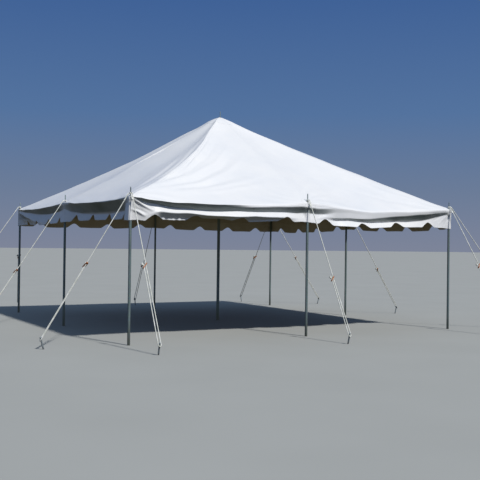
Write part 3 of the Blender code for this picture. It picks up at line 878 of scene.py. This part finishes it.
mark_stitches(binding, tape_stitches)
finish_trim(binding, tape_thickness)

# Seams, patches and grommets
# The four panels are lapped and sewn along the hips. Round patches of a second layer stiffen the crown and
# the eight pins, and a brass grommet is set through each, which the pin stands in.
skin = BVHTree.FromPolygons([v.co for v in roof.data.vertices],
                            [tuple(p.vertices) for p in roof.data.polygons])


def on_roof(x, y, lift):
    """The point this far off the roof's upper face at a plan place."""
    place, normal, *_ = skin.ray_cast(Vector((x, y, 6)), Vector((0, 0, -1)))
    return place + normal * lift


def strip_mesh(name, lines):
    """A band of cloth through rows of points, each row running across it."""
    return cloth_mesh(name, [point for line in lines for point in line],
                      grid_faces(len(lines), len(lines[0])))


stitch_inset = 0.005
seam_width = 0.042
seam_thickness, patch_thickness = 0.0009, 0.0007
seam_lift, patch_lift, grommet_lift = 0.0012, 0.001, 0.0009  # how high each lies on the roof's upper face
patch_margin = 0.008  # from a patch to the canopy's edge
across_seam = [seam_width * share for share in (-0.5, -0.26, 0, 0.26, 0.5)]
strips = []
for corner in range(4):
    lines, places, gone, last = [], [], 0.0, None
    for share in np.linspace(0.022, 0.986, 130):
        line = []
        for off in across_seam:
            x, y = crest_point(share, crest_amount[corner], off)
            line.append(on_roof(*quarter(x, y, (4 - corner) % 4), seam_lift))
        gone += (line[2] - last).length if last else 0
        last = line[2]
        lines.append(line)
        places += [(seam_width / 2 - stitch_inset - abs(off), gone, 0) for off in across_seam]
    strips.append(strip_mesh("canopy_hip_seams", lines))
    mark_stitches(strips[-1], places)
seams = joined(strips)
finish_trim(seams, seam_thickness)

# Every pin as its plan place, the radius of its patch and the size of its grommet
patches, grommets = [], []
pins = [(0, 0, 0.28, 1.3)] + [(*quarter(u, -half_side, (4 - number) % 4), 0.11, 1) for number in range(4)
                             for u in (-half_side, 0)]
# A grommet's outline as (radius, height), from its hole out to its rim
washer = ((0.0096, 0.0), (0.0094, 0.0011), (0.0108, 0.0017), (0.0150, 0.0015), (0.0195, 0.0008),
          (0.0203, 0.0))
washer_sides, rings_out, spokes = 32, 9, 48
for pin_x, pin_y, patch_radius, size in pins:
    inner = 0.0135 if size == 1 else 0.019  # radius of the patch's hole, which the grommet covers
    lines = [[] for _ in range(rings_out)]
    for spoke in range(spokes + 1):
        angle = 2 * math.pi * (spoke % spokes) / spokes
        way = (math.cos(angle), math.sin(angle))
        # the patch ends at the canopy's edge
        reach = min([patch_radius] + [(half_roof - patch_margin - pin * math.copysign(1, part)) / abs(part)
                                      for pin, part in zip((pin_x, pin_y), way) if abs(part) > 1e-6])
        for ring in range(rings_out):
            out = inner + (reach - inner) * ring / (rings_out - 1)
            lines[ring].append(on_roof(pin_x + way[0] * out, pin_y + way[1] * out, patch_lift))
    patches.append(strip_mesh("canopy_patches", lines[::-1]))
    mark_stitches(patches[-1], [((patch_radius - inner) * ring / (rings_out - 1) - stitch_inset,
                                 2 * math.pi * patch_radius * spoke / spokes, 0)
                                for ring in range(rings_out) for spoke in range(spokes + 1)])
    # the grommet lies flat on three points of the cloth round its pin
    first, second, third = (on_roof(pin_x + dx, pin_y + dy, 0)
                            for dx, dy in ((0.02, 0), (-0.01, 0.0173), (-0.01, -0.0173)))
    plane = (second - first).cross(third - first).normalized()
    plane = plane if plane.z > 0 else -plane
    middle = (first + second + third) / 3
    fall = (plane.x * (pin_x - middle.x) + plane.y * (pin_y - middle.y)) / plane.z
    middle = Vector((pin_x, pin_y, middle.z - fall))
    tilt = plane.to_track_quat("Z", "Y").to_matrix()
    vertices = []
    for step in range(washer_sides):
        angle = 2 * math.pi * step / washer_sides
        for radius, height in washer:
            spot = Vector((math.cos(angle), math.sin(angle), 0)) * radius * size
            spot.z = height * size + grommet_lift
            vertices.append(middle + tilt @ spot)
    grommets.append(cloth_mesh("canopy_grommets", vertices,
                               grid_faces(washer_sides, len(washer), True, True)))
patch_piece = joined(patches)
finish_trim(patch_piece, patch_thickness)

# Brass, tarnished brown in small patches and brighter between them
brass, tree, shader = new_material("tarnished brass", Metallic=0.95, Roughness=0.4)
place = add_node(tree, "TexCoord")
tarnish = add_node(tree, "TexNoise", {"Scale": 160, "Detail": 4}, {"Vector": (place, "Object")})
tone = add_node(tree, "ValToRGB", {"stops": [(0.35, linear("#6E5A32")), (0.65, linear("#B2975A"))]},
                {0: tarnish})
uneven = add_node(tree, "MapRange", {"To Min": 0.3, "To Max": 0.6}, {"Value": tarnish})
link_all(tree, shader, {"Base Color": tone, "Roughness": uneven})
grommet_piece = joined(grommets)
give_material(grommet_piece, brass)
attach(grommet_piece, "root")

# Guy ropes
# Twelve ropes of three-strand polypropylene, 14 mm thick, weathered from white to a grey green. Each has an
# eye spliced over its pin, runs down to its stake, round it, and back up through the runner to a stopper
# knot.
rope_radius = 0.007
eye_length = 0.14
bend_radius = 0.03
splice_gap = 0.001
strand_lay = 0.06  # length in which a strand turns once round the rope
rope_tail = 0.045
knot_size = 0.0054  # a third of the knot's radius at the rope's middle
knot_rise = 0.0084
runner_hole_spacing = 0.05
runner_angle = math.radians(40)
stake_radius = 0.0115
stake_lean = math.radians(15)
rope_up_stake = 0.145
loop_gap = 0.0002
runner_share = {"left": 0.5, "middle": 0.6, "right": 0.5}
runner_turn = {"front": 1, "right": -1, "back": -1, "left": 1}
# Reach of each stake from its pole, and the degrees its rope turns from square to the side
stake_places = {
    "front": {"left": (1.12, -1.5), "middle": (1.12, 0), "right": (1.4, 0)},
    "right": {"left": (1.45, -25), "middle": (1.35, 0), "right": (1.4, 0)},
    "back": {"left": (1.4, 0), "middle": (1.12, 0), "right": (1.2, -14)},
    "left": {"left": (1.4, 0), "middle": (1.35, 0), "right": (1.22, -2)},
}
ring_clearance = 1 / math.cos(math.pi / 8)
pin_ring = (pin_radius + rope_radius + seat_gap) * ring_clearance
stake_ring = (stake_radius + rope_radius + loop_gap) * ring_clearance
runner_separation = runner_hole_spacing * math.sin(runner_angle)


def eye_height(u, level):
    """Height of a rope's eye on its pin, where the frame's rope has it."""
    share = overhang / half_roof
    slope = (peak_height - edge_height(u)) / half_roof
    roof = edge_height(u) + slope * overhang - ridge_sag * 4 * share * (1 - share)
    top = roof + cad_cloth * math.hypot(1, slope)
    lowest = top + slope * (pin_ring + rope_radius) + rope_radius + seat_gap
    return lowest + level * (2 * rope_radius + seat_gap)


def knee(u, level, reach):
    """The bend over the canopy's edge as (out, height) points, the rope's end at its stake, the way there."""
    start, top = overhang / 2, eye_height(u, level)
    end = Vector((reach + rope_up_stake * math.sin(stake_lean), rope_up_stake * math.cos(stake_lean)))
    angle = math.atan2(top - end.y, end.x - start)
    bend = []
    for step in range(4):
        turned_by = angle * step / 3
        bend.append(Vector((start + bend_radius * math.sin(turned_by),
                            top - bend_radius * (1 - math.cos(turned_by)))))
    return bend, end, (end - bend[-1]).normalized()


def standing_aside(share):
    """How far the rope's standing strand lies to one side of its middle, a share of the way to the stake."""
    at_splice = rope_radius + splice_gap / 2
    return at_splice + (stake_ring - at_splice) * share


def rope_line(u, level, share, reach):
    """The rope's middle line as (aside, out, height) points, close together where it bends."""
    bend, end, way = knee(u, level, reach)
    top = eye_height(u, level)
    splice_aside = rope_radius + splice_gap / 2
    half_eye, gone, last = [], 0.0, Vector((0, top))
    for point in bend:
        gone += (point - last).length
        last = point
        half_eye.append((pin_ring + (splice_aside - pin_ring) * gone / eye_length, point.x, point.y))
    splice = last + way * (eye_length - gone)
    half_eye.append((splice_aside, splice.x, splice.y))
    line = [(-a, o, z) for a, o, z in reversed(half_eye)]
    for step in range(9):
        angle = math.pi * (step / 8 - 0.5)
        line.append((pin_ring * math.sin(angle), -pin_ring * math.cos(angle), top))
    line += half_eye
    axis = Vector((math.sin(stake_lean), math.cos(stake_lean)))
    across = abs(axis.x * way.y - axis.y * way.x)
    for step in range(9):
        angle = math.pi * step / 8
        point = end + way * (stake_ring / across * math.sin(angle))
        line.append((stake_ring * math.cos(angle), point.x, point.y))
    hole = last + (end - last) * share + way * (runner_hole_spacing / 2 * math.cos(runner_angle))
    aside = standing_aside(share) - runner_separation
    line.append((aside, hole.x, hole.y))
    knot = hole - way * (rope_tail - 0.003)
    for step in range(23):  # an overhand knot as the stopper, in the plane of the two strands
        t = math.pi * (1 + step / 12.3)
        along = knot_size * (math.sin(t) + 2 * math.sin(2 * t))
        off = knot_size * (3 + math.cos(t) - 2 * math.cos(2 * t))
        line.append((aside - off, knot.x - way.x * along - way.y * knot_rise * math.sin(3 * t),
                     knot.y - way.y * along + way.x * knot_rise * math.sin(3 * t)))
    return line


def close_points(line, pitch):
    """The same line through more points: long stretches are divided, and its corners are rounded off."""
    line = [Vector(p) for p in line]
    fine = []
    for index in range(len(line) - 1):
        before, here, there, after = (line[max(index - 1, 0)], line[index], line[index + 1],
                                      line[min(index + 2, len(line) - 1)])
        length = (there - here).length
        steps = max(1, round(length / pitch))
        for step in range(steps):
            share = step / steps
            point = here.lerp(there, share)
            if length < 0.06:  # a short stretch of a bend follows a curve through its neighbours
                into = (there - before).normalized() * length
                out = (after - here).normalized() * length
                s, t = share, 1 - share
                point = (here * (t * t * (1 + 2 * s)) + there * (s * s * (3 - 2 * s))
                         + into * (s * t * t) - out * (s * s * t))
            fine.append(point)
    fine.append(line[-1])
    return fine


# Cross-section of three strands laid together, four points to a strand, their furrows filled by loose fibre
strand = rope_radius / (1 + 2 / math.sqrt(3))
strand_off = rope_radius - strand
furrow_share, filled_share = 0.4, 0.66
section = []
for number in range(12):
    off = math.radians((number % 4) * 30 - 45)
    reach = strand_off * math.cos(off) + math.sqrt(strand ** 2 - (strand_off * math.sin(off)) ** 2)
    section.append((math.radians((number // 4) * 120) + off,
                    furrow_share * reach + filled_share * rope_radius))


def rod_mesh(name, vertices, sides):
    """A closed rod from rings of points, with its two ends filled."""
    rings = len(vertices) // sides
    ends = [tuple(reversed(range(sides))), tuple(range((rings - 1) * sides, rings * sides))]
    return cloth_mesh(name, vertices, grid_faces(rings, sides, ends_meet=True) + ends)


def rope_mesh(name, points):
    """A laid rope along points: rings of the strands' cross-section that turn as they go along."""
    count = len(points)
    ways = [(points[min(i + 1, count - 1)] - points[max(i - 1, 0)]).normalized() for i in range(count)]
    side = ways[0].orthogonal().normalized()
    vertices, rings, turned_by, last = [], [], 0.0, points[0]
    for point, way in zip(points, ways):
        side = (side - way * side.dot(way)).normalized()
        turned_by += (point - last).length * 2 * math.pi / strand_lay
        last = point
        rings.append((point, way, side.copy(), way.cross(side), turned_by))
    # a narrower ring beyond each end rounds it off
    profile = [(rings[0], -0.0012, 0.55)] + [(ring, 0.0, 1.0) for ring in rings] + [(rings[-1], 0.0012, 0.75)]
    for (point, way, side, other, angle), shift, size in profile:
        for bearing, reach in section:
            spot = side * math.cos(bearing + angle) + other * math.sin(bearing + angle)
            vertices.append(point + way * shift + spot * (reach * size))
    return rod_mesh(name, vertices, len(section))


# Laid polypropylene: strands of dull white fibres, greyed and greened in patches by weather
laid_rope, tree, shader = new_material("laid polypropylene rope", Roughness=0.78, Specular_IOR_Level=0.3)
place = add_node(tree, "TexCoord")
soil = add_node(tree, "TexNoise", {"Scale": 14, "Detail": 5}, {"Vector": (place, "Object")})
fibre = add_node(tree, "TexNoise", {"Scale": 420, "Detail": 2}, {"Vector": (place, "Object")})
weathered = add_node(tree, "ValToRGB", {"stops": [(0.3, linear("#CFD2C6")), (0.65, linear("#F2F3EE"))]},
                     {0: soil})
hairs = add_node(tree, "Bump", {"Strength": 0.4, "Distance": 0.0006}, {"Height": fibre})
link_all(tree, shader, {"Base Color": weathered, "Normal": hairs})


def seizing(name, matrix):
    """Twine wound round two strands side by side, along Z, with its turns showing as ridges."""
    turns, length, thick, sides = 11, 0.034, 0.0012, 16
    vertices = []
    levels = [(-0.5, 0.93)] + [(-0.5 + (k + 0.5) / (2 * turns), 1.0 + (0.11 if k % 2 == 0 else 0.0))
                               for k in range(2 * turns)] + [(0.5, 0.93)]
    for place, swell in levels:
        for k in range(sides):
            angle = 2 * math.pi * k / sides
            shift = rope_radius * (1 if math.cos(angle) > 0.01 else -1 if math.cos(angle) < -0.01 else 0)
            reach = (rope_radius + thick) * swell
            spot = Vector((shift + reach * math.cos(angle), reach * math.sin(angle), place * length))
            vertices.append(matrix @ spot)
    return rod_mesh(name, vertices, sides)


rope_jobs = []
for number, side in enumerate(side_names):
    for where, u in (("left", -half_side), ("middle", 0), ("right", half_side)):
        reach, splay = stake_places[side][where]
        placed = (quarter_turns[number] @ Matrix.Translation((u, -half_side, 0))
                  @ Matrix.Rotation(math.radians(splay), 4, "Z"))
        rope_jobs.append((side, where, u, 1 if where == "left" else 0, runner_share[where], runner_turn[side],
                          reach, placed))

for side, where, u, level, share, turn, reach, placed in rope_jobs:
    line = [placed @ Vector((turn * aside, -out, height))
            for aside, out, height in close_points(rope_line(u, level, share, reach), 0.008)]
    rope = rope_mesh(side + "_guy_" + where, line)
    bend, end, way = knee(u, level, reach)
    gone = sum((b - a).length for a, b in zip([Vector((0, bend[0].y))] + bend[:-1], bend))
    splice = bend[-1] + way * (eye_length - gone - 0.006)
    down = Vector((0, -way.x, way.y))
    frame_of_two = Matrix((Vector((1, 0, 0)), down.cross(Vector((1, 0, 0))), down)).transposed().to_4x4()
    frame_of_two.translation = (0, -splice.x, splice.y)
    rope = joined([rope, seizing("seizing", placed @ frame_of_two)])
    give_material(rope, laid_rope)
    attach(rope, "root")
    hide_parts(side + "_rope_" + where)

# Wooden runners
# One flat bar of varnished beech on each rope, 110 by 36 by 16 mm, with rounded ends and two slanting holes.
# The rope's standing strand slides through one hole, and its end is knotted above the other.
runner_length = 0.11
runner_width = 0.036
runner_thickness = 0.016
runner_corner = 0.01
runner_rim = 0.0028
runner_hole = rope_radius + 0.0008

bpy.ops.mesh.primitive_cube_add(size=1)
bar = bpy.context.object
bar.name = "runner bar"
bpy.ops.object.mode_set(mode="EDIT")
bpy.ops.transform.resize(value=(runner_thickness, runner_width, runner_length))
# First the bar's four corners are rounded through its thickness, then the rims of its two flat faces
for rims, offset, segments in ((False, runner_corner, 6), (True, runner_rim, 3)):
    bpy.ops.mesh.select_all(action="DESELECT")
    bpy.ops.object.mode_set(mode="OBJECT")
    for edge in bar.data.edges:
        a, b = (bar.data.vertices[v].co for v in edge.vertices)
        flat = abs(a.x - b.x) < 1e-5 and abs(abs(a.x) - runner_thickness / 2) < 1e-5
        edge.select = flat if rims else abs(a.x - b.x) > runner_thickness / 2
    bpy.ops.object.mode_set(mode="EDIT")
    bpy.ops.mesh.select_mode(type="EDGE")
    bpy.ops.mesh.bevel(offset=offset, segments=segments, affect="EDGES")
face_outwards()
bar.data.transform(Matrix.Rotation(runner_angle, 4, "Y"))
for side_of_middle in (-1, 1):
    bpy.ops.mesh.primitive_cylinder_add(vertices=28, radius=runner_hole, depth=2 * runner_length,
                                        location=(side_of_middle * runner_separation / 2, 0, 0))
    drill = bpy.context.object
    apply_modifier(bar, "BOOLEAN", object=drill, operation="DIFFERENCE", solver="EXACT")
    bpy.data.objects.remove(drill)
select_only(bar)
bpy.ops.object.shade_smooth_by_angle(angle=math.radians(30))

# Varnished beech: fine straight grain along the bar, 2 to 3 mm apart, and a warm orange varnish that is worn
# pale and dull in patches
beech, tree, shader = new_material("varnished beech", Roughness=0.38, Coat_Weight=0.35, Coat_Roughness=0.25)
place = add_node(tree, "Attribute", {"attribute_name": "bar_place"})
along_grain = add_node(tree, "Mapping", {"Scale": (520, 300, 22)}, {"Vector": (place, "Vector")})
grain = add_node(tree, "TexNoise", {"Scale": 1, "Detail": 4, "Distortion": 0.4}, {"Vector": along_grain})
wide = add_node(tree, "Mapping", {"Scale": (60, 60, 14)}, {"Vector": (place, "Vector")})
patchy = add_node(tree, "TexNoise", {"Scale": 1, "Detail": 3}, {"Vector": wide})
timber = add_node(tree, "ValToRGB", {"stops": [(0.3, linear("#8E4B1C")), (0.65, linear("#C9793A"))]},
                  {0: grain})
worn = add_node(tree, "MapRange", {"From Min": 0.5, "From Max": 0.75, "To Max": 0.55}, {"Value": patchy})
rubbed = add_node(tree, "Mix", {"data_type": "RGBA", 7: linear("#B98A5C")}, {0: worn, 6: timber})
dulled = add_node(tree, "MapRange", {"To Min": 0.3, "To Max": 0.6}, {"Value": patchy})
pores = add_node(tree, "Bump", {"Strength": 0.25, "Distance": 0.0004}, {"Height": grain})
link_all(tree, shader, {"Base Color": (rubbed, 2), "Roughness": dulled, "Normal": pores})

upright = Matrix.Rotation(-runner_angle, 3, "Y")
for number, (side, where, u, level, share, turn, reach, placed) in enumerate(rope_jobs):
    bend, end, way = knee(u, level, reach)
    middle = bend[-1] + (end - bend[-1]) * share
    up_rope = Vector((0, way.x, -way.y))
    across = Vector((turn, 0, 0))
    spot = Matrix((across, up_rope.cross(across), up_rope)).transposed().to_4x4()
    spot.translation = (turn * (standing_aside(share) - runner_separation / 2), -middle.x, middle.y)
    runner = placed_copy(bar, side + "_toggle_" + where, placed @ spot)
    grain_place = runner.data.attributes.new("bar_place", "FLOAT_VECTOR", "POINT")
    for vertex, before in zip(grain_place.data, bar.data.vertices):
        vertex.vector = upright @ before.co + Vector((0, 0, 0.31 * number))  # each bar has its own grain
    give_material(runner, beech)
    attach(runner, "root")
    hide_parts(side + "_runner_" + where)
bpy.data.objects.remove(bar)

# Stakes
# One pin of 23 mm round steel bar for each rope, driven in leaning away from the tent. The head is upset and
# mushroomed by the hammer, and the steel is dull grey, with spots of rust and with soil near the ground.
stake_length = 0.172
stake_head_radius = 0.015
# Shank from below the ground, and the spread head with its rounded edge
stake_outline = [(stake_radius, -0.03), (stake_radius, 0.03), (stake_radius, 0.09),
                 (stake_radius, stake_length - 0.0145), (stake_radius + 0.0012, stake_length - 0.0125),
                 (stake_head_radius - 0.0004, stake_length - 0.0105),
                 (stake_head_radius, stake_length - 0.008),
                 (stake_head_radius - 0.0003, stake_length - 0.0045),
                 (stake_head_radius - 0.0018, stake_length - 0.002),
                 (stake_head_radius - 0.005, stake_length - 0.0006), (0.004, stake_length)]
peg = turned("stake pattern", 24, stake_outline)
for vertex in peg.data.vertices:  # the hammer has spread the head unevenly
    if vertex.co.z > stake_length - 0.013:
        bearing = math.atan2(vertex.co.y, vertex.co.x)
        swell = 1 + 0.05 * math.sin(2 * bearing + 0.6) + 0.035 * math.sin(5 * bearing + 1)
        vertex.co.x *= swell
        vertex.co.y *= swell
        vertex.co.z -= 0.0012 * (0.5 + 0.5 * math.sin(3 * bearing))
peg.data.transform(Matrix.Rotation(stake_lean, 4, "X"))
select_only(peg)
bpy.ops.object.mode_set(mode="EDIT")
bpy.ops.mesh.select_all(action="SELECT")
bpy.ops.mesh.bisect(plane_co=(0, 0, 0), plane_no=(0, 0, 1), clear_inner=True, use_fill=True)
face_outwards()
bpy.ops.object.shade_smooth_by_angle(angle=math.radians(35))

# Bare steel bar, long weathered: dull blue grey with a brown bloom in spots and soil on its lowest part
dull_steel, tree, shader = new_material("weathered steel bar", Metallic=0.4, Roughness=0.55)
place = add_node(tree, "TexCoord")
bloom = add_node(tree, "TexNoise", {"Scale": 70, "Detail": 6, "Roughness": 0.65},
                 {"Vector": (place, "Object")})
metal = add_node(tree, "ValToRGB", {"stops": [(0.35, linear("#87939A")), (0.62, linear("#A3ADB0"))]},
                 {0: bloom})
rusty = add_node(tree, "MapRange", {"From Min": 0.56, "From Max": 0.68, "To Max": 0.8}, {"Value": bloom})
spotted = add_node(tree, "Mix", {"data_type": "RGBA", 7: linear("#6B4A35")}, {0: rusty, 6: metal})
height = add_node(tree, "SeparateXYZ", {}, {0: (place, "Object")})
low = add_node(tree, "MapRange", {"From Min": 0.0, "From Max": 0.04, "To Min": 0.6, "To Max": 0.0},
               {"Value": (height, 2)})
soiled = add_node(tree, "Mix", {"data_type": "RGBA", 7: linear("#4D4536")}, {0: low, 6: (spotted, 2)})
matt = add_node(tree, "MapRange", {"To Min": 0.45, "To Max": 0.75}, {"Value": bloom})
pits = add_node(tree, "Bump", {"Strength": 0.3, "Distance": 0.0005}, {"Height": bloom})
link_all(tree, shader, {"Base Color": (soiled, 2), "Roughness": matt, "Normal": pits})

for side, where, *_, reach, placed in rope_jobs:
    stake = placed_copy(peg, side + "_peg_" + where, placed @ Matrix.Translation((0, -reach, 0)))
    give_material(stake, dull_steel)
    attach(stake, "root")
    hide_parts(side + "_stake_" + where)
bpy.data.objects.remove(peg)

# Camera, floor and light
# The camera stands 16 m off at eye height. The floor is plain and pale, a sun lamp shines from high in front,
# and soft bluish light comes from all round, darker from below.
camera = bpy.data.objects.new("camera", bpy.data.cameras.new("camera"))
bpy.context.scene.collection.objects.link(camera)
camera.data.lens = 62.06
camera.data.sensor_width = 36
yaw, pitch, roll = (math.radians(angle) for angle in (29.397, 0.352, 0.739))
ahead = Vector((math.sin(yaw) * math.cos(pitch), math.cos(yaw) * math.cos(pitch), math.sin(pitch)))
level_right = Vector((math.cos(yaw), -math.sin(yaw), 0))
level_up = level_right.cross(ahead)
right = level_right * math.cos(roll) + level_up * math.sin(roll)
up = level_up * math.cos(roll) - level_right * math.sin(roll)
turned_camera = Matrix((right, up, -ahead)).transposed().to_4x4()
camera.matrix_world = Matrix.Translation((-7.488, -14.134, 1.453)) @ turned_camera
camera.data.clip_end = 500
bpy.context.scene.camera = camera

bpy.ops.mesh.primitive_plane_add(size=400, location=(0, 0, -0.0012))
floor = bpy.context.object
floor.name = "floor"
paint, tree, shader = new_material("matt floor paint", Roughness=0.9, Specular_IOR_Level=0.1)
place = add_node(tree, "TexCoord")
mottle = add_node(tree, "TexNoise", {"Scale": 0.6, "Detail": 2}, {"Vector": (place, "Object")})
plain = add_node(tree, "ValToRGB", {"stops": [(0.2, linear("#A6A8A5")), (0.8, linear("#ABADAA"))]},
                 {0: mottle})
link_all(tree, shader, {"Base Color": plain})
floor.data.materials.append(paint)
# The floor takes shadows, but throws no light back up on the cloth
floor.visible_diffuse = floor.visible_glossy = False

sun = bpy.data.objects.new("sun", bpy.data.lights.new("sun", "SUN"))
bpy.context.scene.collection.objects.link(sun)
sun.data.energy = 3.12
sun.data.angle = math.radians(3)
sun.data.color = (1.0, 0.97, 0.925)
sun.rotation_euler = Vector((0.146, -0.623, 0.769)).to_track_quat("Z", "Y").to_euler()

world = bpy.data.worlds.new("soft box of light")
bpy.context.scene.world = world
world.use_nodes = True
tree = world.node_tree
aim = add_node(tree, "TexCoord")
rise = add_node(tree, "SeparateXYZ", {}, {0: (aim, "Generated")})
level = add_node(tree, "MapRange", {"From Min": -1.0, "From Max": 1.0}, {"Value": (rise, 2)})
walls = add_node(tree, "ValToRGB", {"stops": [(0.46, linear("#474538")), (0.492, linear("#808699")),
                                              (0.533, linear("#6B7C98")), (0.578, linear("#54739E")),
                                              (0.645, linear("#3F6196")), (0.82, linear("#687A90"))]},
                 {0: level})
link_all(tree, tree.nodes["Background"], {"Color": walls})
bpy.context.scene.view_settings.view_transform = "Standard"
